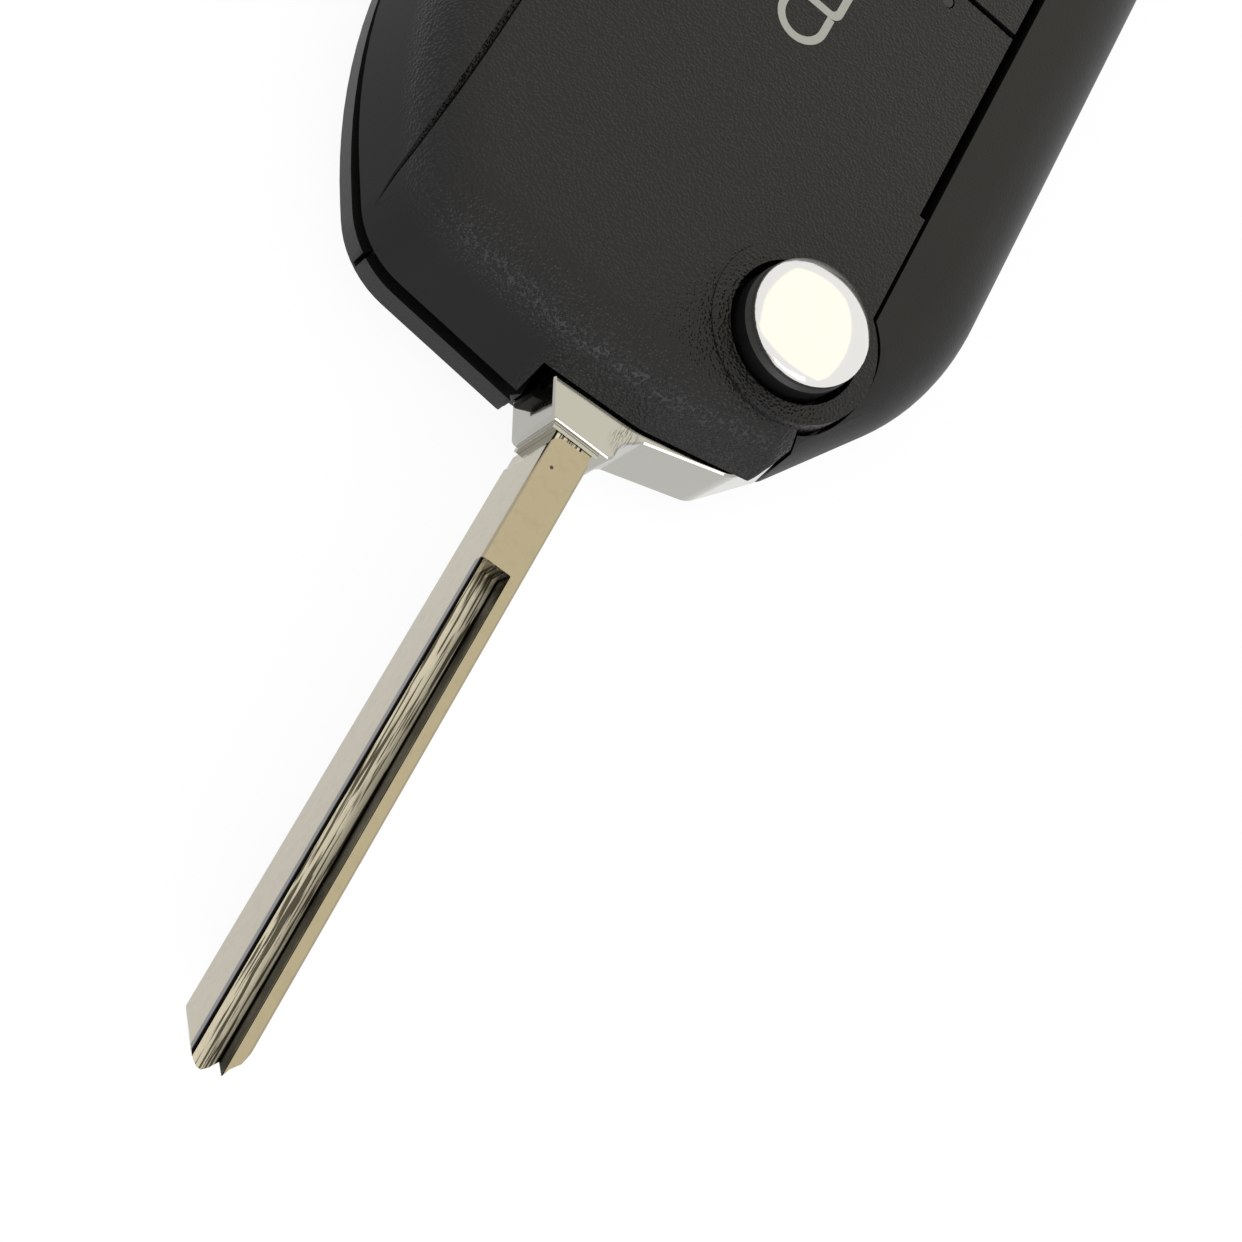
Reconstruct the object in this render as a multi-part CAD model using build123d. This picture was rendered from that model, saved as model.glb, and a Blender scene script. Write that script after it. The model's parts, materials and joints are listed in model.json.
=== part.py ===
from build123d import *
import os
from math import atan2, cos, degrees, hypot, radians, sin

# Flip key remote shell, in millimetres, lying on its back with the blade out.
# The frame's origin is on the back face, under the axis that the blade turns on.
# +Z is out of the button face, +Y is towards the key ring, the blade points to -Y.

# Case heights, from the back face up
case_thick = 13.6         # back face to button face
floor_thick = 1.6         # rear case floor
hull_knee = 3.1           # where the rear case's sloping flank meets its upright rim
rear_rim = 5.1            # top of the rear case's side walls
front_rim = 6.6           # lower edge of the front case's skin
roof_thick = 1.4          # front case wall over the board bay
roll_radius = 5.0         # roll-off from the button face into the sides

# Case plan, measured from the blade's axis of rotation
side_right = 12.6
side_left = 34.8
far_end = 66.0
far_left = 32.2
corner_far_left = 13.0
corner_far_right = 11.0
lean_side = 0.45          # how far the left and blade-end sides lean in per mm of height
lean_far = 0.2
lean_waist = 0.05
hull_inset = 3.6          # how far the flank slopes in under the case
skirt_inset = 1.0         # depth of the shadow line between the halves
front_wall = 2.9
rear_wall = 2.2
floor_inset = 0.8         # rear floor beside the head
front_floor_inset = 2.1   # and in front of it
inner_wall = 1.3
slot_clear = 0.6          # beside the folded blade

# Gap between the front case and the side band of the rear case
gap_left = 3.8
gap_wide = 0.8
gap_step = 13.8           # the gap narrows from here to the head
ring_gap = 0.3
# The gap's left side in front of the ring
gap_tail = [(-1.0, -16.0), (3.5, -8.3), (4.15, -6.1), (3.0, -4.2)]

# Blade head, a drum with an arm
head_bottom = 2.4
drum_radius = 7.5
arm_left = 11.3
arm_bend = 10.9           # the arm's left side leans in from here to the end
arm_end_left = 10.0
arm_right = 5.2
arm_end = 13.4
nose_root = (-4.0, -10.95)
nose_tip = (2.4, -8.95)
head_clear = 0.3
step_x = -12.35           # the front case's skin is cut away from here on, over the head
head_bevel = 0.15         # top edge
head_foot_bevel = 0.5     # bottom edge

# Blade
blade_offset = 7.83       # blade centre line to the axis of rotation
blade_width = 3.1
blade_depth = 7.1
blade_tip = 60.2          # on the face towards the buttons; the end slants back from there
blade_start = 14.2
blade_drop = 0.1
groove_start = 24.1
groove_width = 2.0
groove_depth = 2.0
groove_side = 0.37        # how far each groove lies off the blade's centre line
tip_slant = 3.6
tang_end = 7.4
blade_pin_y = 9.0
blade_pin_radius = 0.9
head_top = head_bottom + blade_depth - 0.4
chamber_top = head_top + head_clear

# Release button and its mechanism
hole_radius = 4.95
ring_radius = 6.3
ring_rise = 0.12
barrel_radius = 4.45
flange_radius = 4.9
plunger_low = 8.35
plunger_top = 15.0
flange_thick = 1.0
wing_reach = 5.9          # two wings of the flange run in slots of the drum
wing_half = 0.95
barrel_wall = 1.1
barrel_top = 2.2
stem_radius = 1.5
cap_radius = 4.37
cap_rim = 15.8
cap_top = 17.4
release_travel = 2.3
spring_bore = 5.2
drum_floor = 1.2
axle_radius = 2.4
axle_play = 0.05
wire_radius = 0.27
coil_radius = 4.25
coil_turns = 2.5

# Keys
flap_root = 14.0
flap_end = 31.3
slit = 0.35
crease_left = 27.1
crease_width = 0.7
crease_depth = 0.75
key_left = 24.8
key_right = 1.2
key_height = 8.6
key_first = 34.4
key_bar = 2.3             # face left between two keys
key_pitch = key_height + key_bar
key_gap = 0.25
key_lip = 0.7
key_rise = 0.15
key_low = 11.4
icon_x = -10.2
icon_y = 22.6
lens_x = -1.8
lens_y = 29.9
lens_radius = 0.55

# Keypad, board carrier and coin cell well
carrier_left = 28.0
carrier_right = 1.9
carrier_start = 14.9
carrier_top = 9.7
carrier_wall = 1.2
board_seat = 6.2
cell_radius = 10.2
contact_pocket = 11.5     # half width of the pocket for the board's contacts
membrane_thick = 0.8
dome_radius = 2.0
dome_rise = 0.3

# Key ring notch and its pin
notch_left = 15.0
notch_right = 3.0
notch_floor = 57.6
carrier_end = notch_floor - 3.0   # leaves room for the notch's wall
ring_block = 3.8
ring_pin_radius = 1.3
ring_pin_y = 63.8
ring_pin_z = 5.8
pin_seat = 2.2
pin_play = 0.02

# Screws
screw_places = [(-19.0, -4.8), (-24.2, notch_floor + 0.3)]
screw_radius = 1.0
screw_head_radius = 1.9
screw_head_thick = 1.2
screw_length = 9.0
boss_radius = 2.6

tall = 3 * case_thick     # cutting height that clears the whole case
wide = 1.3 * far_end      # cutting reach that clears it in plan


# Plan outlines

def inset_corners(corners, insets):
    """Move each side of a corner list inwards; side i runs from corner i to the next."""
    count = len(corners)
    moved = []
    for i in range(count):
        x, y, radius = corners[i]
        before = corners[i - 1]
        after = corners[(i + 1) % count]
        ax, ay = x - before[0], y - before[1]
        bx, by = after[0] - x, after[1] - y
        la, lb = hypot(ax, ay), hypot(bx, by)
        ax, ay, bx, by = ax / la, ay / la, bx / lb, by / lb
        da, db = insets[i - 1], insets[i]
        # the corner list runs anticlockwise, so inwards is to the left of each side
        cross = ax * by - ay * bx
        px, py = -ay * da, ax * da
        qx, qy = -by * db, bx * db
        t = ((qx - px) * by - (qy - py) * bx) / cross
        shrink = min(da, db) if cross > 0 else -max(da, db)
        moved.append((x + px + ax * t, y + py + ay * t, max(radius - shrink, 0.4)))
    return moved


def plan(corners, z=0.0):
    """Closed face at height z with one round corner for each entry."""
    points = [(x, y, 0) for x, y, _ in corners]
    wire = FilletPolyline(*points, radius=[r for _, _, r in corners], close=True)
    return Pos(0, 0, z) * make_face(wire)


# Corners of the case where the two halves meet, anticlockwise from the far right. Each
# side runs from its corner to the next and leans in above the front case's rim.
foot_corner = (-25.35, -10.75, 7.0)
jog_corner = (-12.2, -12.1, 0.6)
nose_corner = (3.06, -9.95, 1.5)
outline = [
    (side_right, far_end, corner_far_right),
    (-far_left, far_end, corner_far_left),
    (-side_left, 3.5, 39.0),
    foot_corner,
    jog_corner,
    (-4.5, -11.7, 9.0),
    nose_corner,
    (side_right, 4.9, 22.0),
]
leans = [lean_far] + [lean_side] * 5 + [lean_waist, 0.0]


def box_between(x0, x1, y0, y1, z0, z1):
    """Block given by its lowest and highest coordinates."""
    return Pos((x0 + x1) / 2, (y0 + y1) / 2, (z0 + z1) / 2) * Box(x1 - x0, y1 - y0, z1 - z0)


def round_block(x0, x1, y0, y1, z0, z1, radius):
    """Upright block with round corners in plan."""
    face = Pos((x0 + x1) / 2, (y0 + y1) / 2, z0) * RectangleRounded(x1 - x0, y1 - y0, radius)
    return extrude(face, z1 - z0)


def cylinder_between(x, y, radius, z0, z1):
    return Pos(x, y, (z0 + z1) / 2) * Cylinder(radius, z1 - z0)


def pie(radius, start, end, z0, z1):
    """Upright sector about the axis of rotation, angles in degrees, anticlockwise."""
    middle = radians((start + end) / 2)
    a, b = radians(start), radians(end)
    arc = ThreePointArc((radius * cos(a), radius * sin(a)), (radius * cos(middle), radius * sin(middle)),
                        (radius * cos(b), radius * sin(b)))
    wire = [Line((0, 0), arc @ 0), arc, Line(arc @ 1, (0, 0))]
    return extrude(Pos(0, 0, z0) * make_face(wire), z1 - z0)


# Head and its chamber

def head_corners(grow=0.0):
    """Arm and nose of the head in plan; the drum is added as a circle."""
    corners = [
        (-arm_end_left, -arm_end, 0.45),
        (-arm_right, -arm_end, 0.45),
        (-arm_right, nose_root[1] - 1.05, 0.9),
        (*nose_root, 0.5),
        (*nose_tip, 2.0),
        (drum_radius * cos(radians(-40)), drum_radius * sin(radians(-40)), 0.3),
        (0.0, 0.0, 0.4),
        (-drum_radius, 0.0, 0.3),
        (-arm_left, -8.2, 1.5),
        (-arm_left, -arm_bend, 0.6),
    ]
    return inset_corners(corners, [-grow] * len(corners))


def head_plan(grow=0.0):
    return plan(head_corners(grow)) + Circle(drum_radius + grow)


def nose_reach():
    return hypot(*nose_root)


def arm_reach():
    return max(hypot(arm_end_left, arm_end), hypot(arm_left, arm_bend))


def head_chamber(grow, z0, z1):
    """Room for the head and the blade from the open to the folded position."""
    folded = Rot(0, 0, 180) * head_plan(head_clear + grow)
    room = extrude(Pos(0, 0, z0) * head_plan(head_clear + grow), z1 - z0)
    room += extrude(Pos(0, 0, z0) * folded, z1 - z0)
    arm_angle = degrees(atan2(-arm_bend, -arm_left)) + 360
    nose_angle = degrees(atan2(nose_root[1], nose_root[0])) + 360
    room += pie(arm_reach() + head_clear + grow, arm_angle, arm_angle + 180, z0, z1)
    room += pie(nose_reach() + head_clear + grow, nose_angle, nose_angle + 183, z0, z1)
    slot_left = blade_offset - blade_width / 2 - slot_clear - grow
    room += box_between(slot_left, wide, 0, blade_tip + 0.9 + grow, z0, z1)
    return room


def gap_region(front, z0, z1):
    """Everything right of the gap beside the blade slot, from its front case side or its band side."""
    band_left = gap_left + gap_wide
    shift = 0 if front else ring_gap
    region = box_between(gap_left if front else band_left, wide, gap_step, wide, z0, z1)
    region += box_between(band_left - ring_gap + shift, wide, 0, gap_step + 0.01, z0, z1)
    region += box_between(0, wide, -wide, 0.01, z0, z1)
    moved = [(x + shift, y) for x, y in gap_tail[:-1]]
    tail = Polyline(*moved, gap_tail[-1], (0, 0), close=True)
    region -= extrude(Pos(0, 0, z0) * make_face(tail), z1 - z0)
    region -= cylinder_between(0, 0, ring_radius + shift, z0, z1)
    return region


def lean_plane(i, inset):
    """Plane of side i above the front case's rim, moved in by inset."""
    x, y, _ = outline[i]
    after = outline[(i + 1) % len(outline)]
    dx, dy = after[0] - x, after[1] - y
    length = hypot(dx, dy)
    out_x, out_y = dy / length, -dx / length
    return Plane(origin=(x - out_x * inset, y - out_y * inset, front_rim), z_dir=(out_x, out_y, leans[i]))


def corner_edge(block, corner):
    """Edge that rises from a corner at the height of the front case's rim."""
    foot = Vector(corner[0], corner[1], front_rim)
    rising = [e for e in block.edges() if e.center().Z > front_rim + 0.3]
    return min(rising, key=lambda e: min((e @ 0 - foot).length, (e @ 1 - foot).length))


def leaning_block(inset, high):
    """Case plan raised from the front case's rim with its leaning sides and wide corners."""
    block = box_between(-wide, wide, -wide, wide, front_rim, high)
    for i in range(len(outline)):
        block = split(block, lean_plane(i, inset), keep=Keep.BOTTOM)
    corners = inset_corners(outline, [inset] * len(outline))
    for corner in sorted(corners, key=lambda c: -c[2]):
        if corner[2] > roll_radius - inset and corner[2] > 1:
            block = fillet(corner_edge(block, corner), corner[2])
    return block


def below_rim(block, z0):
    """Lower face of a leaning block carried straight down to z0."""
    return extrude(block.faces().sort_by(Axis.Z)[0], front_rim - z0, dir=(0, 0, -1))


def upper_block(z0):
    """Everything of the case above z0, its top edge rolled off."""
    block = leaning_block(0, case_thick)
    block = fillet(block.faces().sort_by(Axis.Z)[-1].edges(), roll_radius)
    for corner in (jog_corner, nose_corner):
        block = fillet(corner_edge(block, corner), corner[2])
    if z0 < front_rim:
        return block + below_rim(block, z0)
    return block & box_between(-wide, wide, -wide, wide, z0, tall)


def hull_side(inset, z):
    """Outline of the rear case's outside at height z, moved in by inset."""
    slope = hull_inset * max(0.0, 1 - z / hull_knee)
    sides = [slope + inset] * len(outline)
    sides[-1] = inset + slope * 0.25
    return plan(inset_corners(outline, sides), z)


# Cases

def ring_notch(z0, z1):
    """Open notch at the far end that the key ring passes through."""
    return round_block(-notch_left, -notch_right, notch_floor, wide, z0, z1, 1.5)


def bay(inside):
    """Board bay: the part of the case's inside clear of the head's chamber and the ring notch."""
    inside -= head_chamber(inner_wall, -tall, tall)
    inside -= box_between(gap_left - roof_thick, wide, -wide, wide, -tall, tall)
    inside -= box_between(-notch_left - ring_block, -notch_right + ring_block,
                          notch_floor - inner_wall, wide, -tall, tall)
    return inside.solids().sort_by(SortBy.VOLUME)[-1]


def straight_block(inset, z0, z1):
    """Case plan moved in by inset and raised straight from z0 to z1."""
    return extrude(plan(inset_corners(outline, [inset] * len(outline)), z0), z1 - z0)


def ring_pin_hole():
    return Pos(-(notch_left + notch_right) / 2, ring_pin_y, ring_pin_z) * Rot(0, 90, 0) * Cylinder(
        ring_pin_radius + pin_play, notch_left - notch_right + 2 * pin_seat)


def floor_plan(inset, z):
    """Rear case's floor under the head, set back so that the head hides it from in front."""
    sides = [floor_inset] * len(outline)
    sides[3:6] = [front_floor_inset] * 3
    sides[6] = floor_inset + 0.3
    corners = inset_corners(outline, [side + inset for side in sides])
    return plan([(x, y, min(max(r, 2.5), far_end / 3)) for x, y, r in corners], z)


def make_rear_case():
    case = loft([hull_side(0, 0), hull_side(0, hull_knee)], ruled=True)
    case += extrude(hull_side(0, hull_knee), rear_rim - hull_knee)
    head_side = -arm_left - head_clear
    keep = box_between(-wide, head_side, -wide, wide, 0, tall)
    keep += box_between(-wide, wide, flap_root, wide, 0, tall)
    case &= keep
    bevel = floor_thick / 2
    base = loft([floor_plan(bevel, 0), floor_plan(0, bevel)], ruled=True)
    base += extrude(floor_plan(0, bevel), floor_thick - bevel)
    case += base & box_between(head_side, wide, -wide, flap_root + 1, 0, tall)
    case -= head_chamber(0, floor_thick, chamber_top)
    case -= bay(straight_block(rear_wall, hull_knee, rear_rim + 1))
    case -= bay(straight_block(rear_wall + hull_inset * 0.5, floor_thick, hull_knee))
    # side band over the blade slot, with the wall that carries it
    band = upper_block(chamber_top) & gap_region(False, chamber_top, tall)
    wall_left = gap_left + gap_wide
    slot_left = blade_offset - blade_width / 2 - slot_clear
    carrying = box_between(wall_left, slot_left, flap_root + 0.3, blade_tip + 1, floor_thick, chamber_top)
    block = upper_block(floor_thick) & box_between(wall_left, wide, blade_tip + 0.9, wide, floor_thick, tall)
    case += band + carrying + block
    case -= box_between(slot_left + 0.6, side_right - 3.0, flap_root + 1, blade_tip - 1,
                        chamber_top - 1, case_thick - 1.8)
    for x, y in screw_places:
        case += cylinder_between(x, y, boss_radius, 0.5, rear_rim)
        case -= cylinder_between(x, y, screw_radius + 0.15, -1, rear_rim + 1)
        case -= cylinder_between(x, y, screw_head_radius + 0.15, -1, 0.3 + screw_head_thick)
    case -= ring_notch(-1, tall)
    case -= ring_pin_hole()
    case -= cylinder_between(0, 0, axle_radius - 0.8, 0.6, floor_thick + 1)
    # short break in the rim at the foot of the flank
    split_x, split_y = foot_corner[0] + 0.55, foot_corner[1] + 0.9
    case -= Pos(split_x, split_y, rear_rim) * Rot(0, 0, 60) * Box(1.6, 0.35, 2 * (rear_rim - hull_knee) - 0.6)
    return case


def crease():
    """Groove beside the keys that runs down over the roll-off and fades out on the flank."""
    stations = [
        (-8.6, 0.35, 0.15, 6.2),
        (-6.5, 0.1, 0.4, 4.85),
        (-4.0, 0.0, 0.7, 2.5),
        (0.0, 0.0, 0.9, 1.2),
        (4.0, 0.0, 1.0, crease_depth),
        (far_end - 9, 0.0, 1.0, crease_depth),
    ]
    sections = []
    for y, shift, share, depth in stations:
        middle = -crease_left + crease_width / 2 + shift
        half = crease_width / 2 * share
        low, high = case_thick - depth, case_thick + 2
        ring = Polyline((middle - half, high), (middle + half, high), (middle + half * 0.6, low),
                        (middle - half * 0.6, low), close=True)
        sections.append(Plane(origin=(0, y, 0), x_dir=(1, 0, 0), z_dir=(0, -1, 0)) * make_face(ring))
    return loft(sections, ruled=True)


def make_front_case():
    low = rear_rim
    case = upper_block(front_rim) + straight_block(skirt_inset, low, front_rim)
    case -= gap_region(True, 0, tall)
    case -= head_chamber(0, 0, chamber_top)
    case -= box_between(step_x, nose_corner[0] + 2, -wide, -drum_radius - 0.9, 0, chamber_top)
    inside = leaning_block(front_wall, case_thick - roof_thick)
    case -= bay(inside + below_rim(inside, 0))
    case += cylinder_between(0, 0, ring_radius, chamber_top, case_thick + ring_rise)
    case -= cylinder_between(0, 0, hole_radius, 0, tall)
    case -= crease()
    # opening of the lock flap, and windows of the two keys
    case -= box_between(-crease_left, gap_left + 1, flap_root, flap_end + slit,
                        case_thick - roof_thick - 1.1, case_thick + 1)
    for i in range(2):
        y0 = key_first + i * key_pitch
        case -= round_block(-key_left, key_right, y0, y0 + key_height, case_thick - 2.5, case_thick + 1, 2.0)
    for x, y in screw_places:
        case += cylinder_between(x, y, boss_radius - 0.2, low, case_thick - roof_thick)
        case -= cylinder_between(x, y, screw_radius + 0.02, 0, screw_length + 0.6)
    case -= ring_notch(-1, tall)
    case -= ring_pin_hole()
    return case


# Keys

def make_lock_flap():
    flap = box_between(-crease_left + crease_width, gap_left, flap_root, flap_end,
                       case_thick - roof_thick, case_thick)
    far_edges = flap.faces().sort_by(Axis.Y)[-1].edges().filter_by(Axis.X).sort_by(Axis.Z)[-1]
    flap = fillet(far_edges, 0.25)
    flap += cylinder_between(icon_x, icon_y, 1.6, key_low, case_thick - roof_thick)
    flap -= cylinder_between(lens_x, lens_y, lens_radius + 0.03, 0, tall)
    return flap


def make_indicator_lens():
    low = case_thick - roof_thick
    lens = cylinder_between(lens_x, lens_y, lens_radius, low, case_thick)
    lens += cylinder_between(lens_x, lens_y, lens_radius + 0.35, low - 0.4, low)
    return chamfer(lens.faces().sort_by(Axis.Z)[-1].edges(), 0.1)


def make_key(index):
    y0 = key_first + index * key_pitch
    y1 = y0 + key_height
    lip_top = case_thick - roof_thick
    key = round_block(-key_left + key_gap, key_right - key_gap, y0 + key_gap, y1 - key_gap,
                      key_low, case_thick + key_rise, 1.8)
    key = fillet(key.faces().sort_by(Axis.Z)[-1].edges(), 0.5)
    key += round_block(-key_left - key_lip, key_right + key_lip, y0 - key_lip, y1 + key_lip,
                       key_low, lip_top, 2.4)
    return key


def key_centres():
    rows = [(icon_x, icon_y)]
    middle = (key_right - key_left) / 2
    rows += [(middle, key_first + i * key_pitch + key_height / 2) for i in range(2)]
    return rows


def make_membrane():
    sheet = round_block(-carrier_left + 0.2, carrier_right - 0.1, carrier_start + 0.2, carrier_end - 0.1,
                        carrier_top, carrier_top + membrane_thick, 1.5)
    top = carrier_top + membrane_thick
    for x, y in key_centres():
        dome = extrude(Pos(x, y, top) * Circle(dome_radius), dome_rise, taper=30)
        sheet += dome
        sheet -= cylinder_between(x, y, dome_radius - 0.7, carrier_top - 1, top - 0.35)
    return sheet


def make_carrier():
    tray = round_block(-carrier_left, carrier_right, carrier_start, carrier_end,
                       floor_thick, carrier_top, 1.5)
    tray -= round_block(-carrier_left + carrier_wall, carrier_right - carrier_wall,
                        carrier_start + carrier_wall, carrier_end - carrier_wall,
                        board_seat, carrier_top + 1, 1.0)
    middle = ((carrier_right - carrier_left) / 2, (carrier_start + carrier_end) / 2 + 5)
    tray -= cylinder_between(*middle, cell_radius, floor_thick + 1.0, carrier_top)
    tray -= cylinder_between(*middle, cell_radius - 3.5, 0, carrier_top)
    tray -= round_block(middle[0] - contact_pocket, middle[0] + contact_pocket,
                        carrier_start + 2.5 * carrier_wall, middle[1] - cell_radius - 1.5,
                        floor_thick + 1.0, carrier_top, 1.0)
    low_edge = tray.faces().sort_by(Axis.Z)[0].outer_wire().edges()
    return chamfer(low_edge, 0.9)


def make_battery_clip():
    """Bent strip that presses on the rim of a coin cell."""
    x = (carrier_right - carrier_left) / 2
    y = (carrier_start + carrier_end) / 2 + 5 - cell_radius
    z = floor_thick + 1.0
    path = Polyline((y + 5.0, z + 0.125), (y + 0.55, z + 0.125), (y + 0.55, z + 3.2), (y + 1.3, z + 3.9),
                    (y + 3.4, z + 3.5))
    strip = offset(path, 0.125, side=Side.BOTH, kind=Kind.INTERSECTION)
    place = Plane(origin=(x - 2.5, 0, 0), x_dir=(0, 1, 0), z_dir=(1, 0, 0))
    return extrude(place * make_face(strip), 5.0)


# Blade and head

def make_blade_head():
    low, high = head_bottom + head_foot_bevel, head_top - head_bevel
    head = extrude(Pos(0, 0, low) * head_plan(), high - low)
    head += loft([Pos(0, 0, high) * head_plan(), Pos(0, 0, head_top) * head_plan(-head_bevel)], ruled=True)
    head += loft([Pos(0, 0, head_bottom) * head_plan(-head_foot_bevel), Pos(0, 0, low) * head_plan()],
                 ruled=True)
    # collar round the blade's root
    x0 = -blade_offset - blade_width / 2
    head += box_between(x0 - 0.25, x0 + blade_width + 0.25, -arm_end - 0.35, -arm_end,
                        head_bottom + head_foot_bevel, head_top - 0.4)
    # spring chamber, with two slots that turn the release plunger with the head
    head -= cylinder_between(0, 0, spring_bore, head_bottom + drum_floor, tall)
    head -= cylinder_between(0, 0, axle_radius + axle_play, 0, tall)
    slot_low = plunger_low - release_travel - 0.3
    slot_reach, slot_half = wing_reach + 0.3, wing_half + 0.1
    head -= box_between(-slot_reach, slot_reach, -slot_half, slot_half, slot_low, tall)
    # socket for the blade's tang, and the cross pin's hole
    head -= tang(pin_play)
    head -= cylinder_between(-blade_offset, -blade_pin_y, blade_pin_radius + pin_play,
                             head_bottom + 0.4, tall)
    return head


def tang(grow=0.0):
    """Reduced root of the blade, inside the head."""
    half = blade_width / 2 - 0.25 + grow
    low = head_bottom + 0.9 - grow
    high = head_top - 0.9 + grow
    return box_between(-blade_offset - half, -blade_offset + half,
                       -blade_start - 0.2, -tang_end + grow, low, high)


def make_blade():
    x0 = -blade_offset - blade_width / 2
    x1 = x0 + blade_width
    top = head_top - blade_drop
    low = top - blade_depth
    blade = box_between(x0, x1, -blade_tip, -blade_start, low, top)
    # tip: corners rounded off in plan, more on the right, and the whole end slanted
    end = [(x0 - 1, 2.5), (x0, 1.2), (x0 + 0.35, 0.7), (x0 + 0.8, 0.25), (x0 + 1.2, 0), (x1 - 1.6, 0),
           (x1 - 1.3, 0.3), (x1 - 0.85, 1.0), (x1 - 0.7, 1.44), (x1 - 0.24, 2.05), (x1, 3.0), (x1 + 1, 5.0)]
    faces = []
    for z in (low - 1, top + 1):
        shift = (top - z) * tip_slant / blade_depth - blade_tip
        line = [(x, y + shift, 0) for x, y in end]
        ring = Polyline(*line, (x1 + 1, shift - 8, 0), (x0 - 1, shift - 8, 0), close=True)
        faces.append(Pos(0, 0, z) * make_face(ring))
    blade -= loft(faces, ruled=True)
    long_edges = blade.edges().filter_by(Axis.Y).filter_by(lambda e: e.length > blade_depth)
    blade = fillet(long_edges, 0.3)
    # one milled groove in each narrow face, handed so that the blade fits either way round
    for face_z, shift, way in ((top, -groove_side, 1), (low, groove_side, -1)):
        middle = -blade_offset + shift
        z0, z1 = sorted((face_z - way * groove_depth, face_z + way))
        blade -= box_between(middle - groove_width / 2, middle + groove_width / 2,
                             -blade_tip - 2, -groove_start, z0, z1)
    # rounded root of the two narrow faces
    root = round_block(x0, x1, -blade_start - 4, -blade_start, low - 1, top + 1, 0.9)
    sharp = box_between(x0 - 1, x1 + 1, -blade_start - 1.5, -blade_start + 0.1, low - 1, top + 1)
    blade -= sharp - root
    neck = box_between(x0 + 0.1, x1 - 0.1, -blade_start - 1.2, -arm_end - 0.37, low + 0.3, top - 0.4)
    blade += neck
    blade += tang()
    blade -= cylinder_between(-blade_offset, -blade_pin_y, blade_pin_radius + pin_play, 0, tall)
    return blade


def make_blade_pin():
    pin = cylinder_between(-blade_offset, -blade_pin_y, blade_pin_radius,
                           head_bottom + 0.4, head_top - 0.1)
    return chamfer(pin.edges(), 0.15)


# Release button

def make_release_cap():
    rise = cap_top - cap_rim
    ball = (cap_radius ** 2 + rise ** 2) / (2 * rise)
    cap = cylinder_between(0, 0, cap_radius, plunger_top, cap_top)
    cap &= Pos(0, 0, cap_top - ball) * Sphere(ball)
    cap = fillet(cap.edges().filter_by_position(Axis.Z, cap_rim - 0.1, cap_rim + 0.1), 0.35)
    cap = chamfer(cap.faces().sort_by(Axis.Z)[0].edges(), 0.3)
    return cap + cylinder_between(0, 0, stem_radius, plunger_top - 1.1, plunger_top)


def make_plunger():
    barrel = cylinder_between(0, 0, barrel_radius, plunger_low, plunger_top)
    barrel = chamfer(barrel.faces().sort_by(Axis.Z)[-1].edges(), 0.3)
    barrel += cylinder_between(0, 0, flange_radius, plunger_low, plunger_low + flange_thick)
    barrel += box_between(-wing_reach, wing_reach, -wing_half, wing_half,
                          plunger_low, plunger_low + flange_thick)
    barrel -= cylinder_between(0, 0, barrel_radius - barrel_wall, 0, plunger_top - barrel_top)
    barrel -= cylinder_between(0, 0, stem_radius + pin_play, 0, tall)
    return barrel


def make_spring():
    low = head_bottom + drum_floor + wire_radius
    high = plunger_low - wire_radius
    pitch = (high - low) / coil_turns
    path = Pos(0, 0, low) * Helix(pitch=pitch, height=high - low, radius=coil_radius)
    section = Plane(origin=path @ 0, z_dir=path % 0) * RegularPolygon(wire_radius, 6)
    return sweep(section, path, is_frenet=True)


def make_axle():
    """Shouldered rivet that the head turns on."""
    drum_top = head_bottom + drum_floor
    axle = cylinder_between(0, 0, axle_radius, floor_thick, drum_top + axle_play)
    axle += cylinder_between(0, 0, axle_radius + 1.1, drum_top + axle_play, drum_top + 0.75)
    axle += cylinder_between(0, 0, axle_radius - 0.8 - pin_play, 0.65, floor_thick)
    axle -= cylinder_between(0, 0, 0.9, drum_top - 0.6, tall)
    return chamfer(axle.faces().sort_by(Axis.Z)[-1].outer_wire().edges(), 0.25)


def make_washer():
    ring = cylinder_between(0, 0, drum_radius - 1.6, floor_thick, head_bottom)
    return ring - cylinder_between(0, 0, axle_radius + 0.15, 0, tall)


def make_ring_pin():
    length = notch_left - notch_right + 2 * pin_seat - 0.1
    pin = Pos(-(notch_left + notch_right) / 2, ring_pin_y, ring_pin_z) * Rot(0, 90, 0) * Cylinder(
        ring_pin_radius, length)
    return chamfer(pin.edges().filter_by(GeomType.CIRCLE), 0.2)


def make_screws():
    screws = []
    for x, y in screw_places:
        screw = cylinder_between(x, y, screw_head_radius, 0.3, 0.3 + screw_head_thick)
        screw += cylinder_between(x, y, screw_radius, 0.3, screw_length + 0.3)
        screw -= Pos(x, y, 0.3) * Box(2.2, 0.5, 1.2) + Pos(x, y, 0.3) * Box(0.5, 2.2, 1.2)
        screws.append(screw)
    return Compound(children=[s.solid() for s in screws])


parts = {
    "rear_case": make_rear_case(),
    "front_case": make_front_case(),
    "lock_flap": make_lock_flap(),
    "unlock_key": make_key(0),
    "boot_key": make_key(1),
    "indicator_lens": make_indicator_lens(),
    "keypad_membrane": make_membrane(),
    "board_carrier": make_carrier(),
    "battery_clip": make_battery_clip(),
    "blade_head": make_blade_head(),
    "key_blade": make_blade(),
    "blade_pin": make_blade_pin(),
    "release_cap": make_release_cap(),
    "release_plunger": make_plunger(),
    "flip_spring": make_spring(),
    "pivot_axle": make_axle(),
    "pivot_washer": make_washer(),
    "key_ring_pin": make_ring_pin(),
    "case_screws": make_screws(),
}

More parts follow.
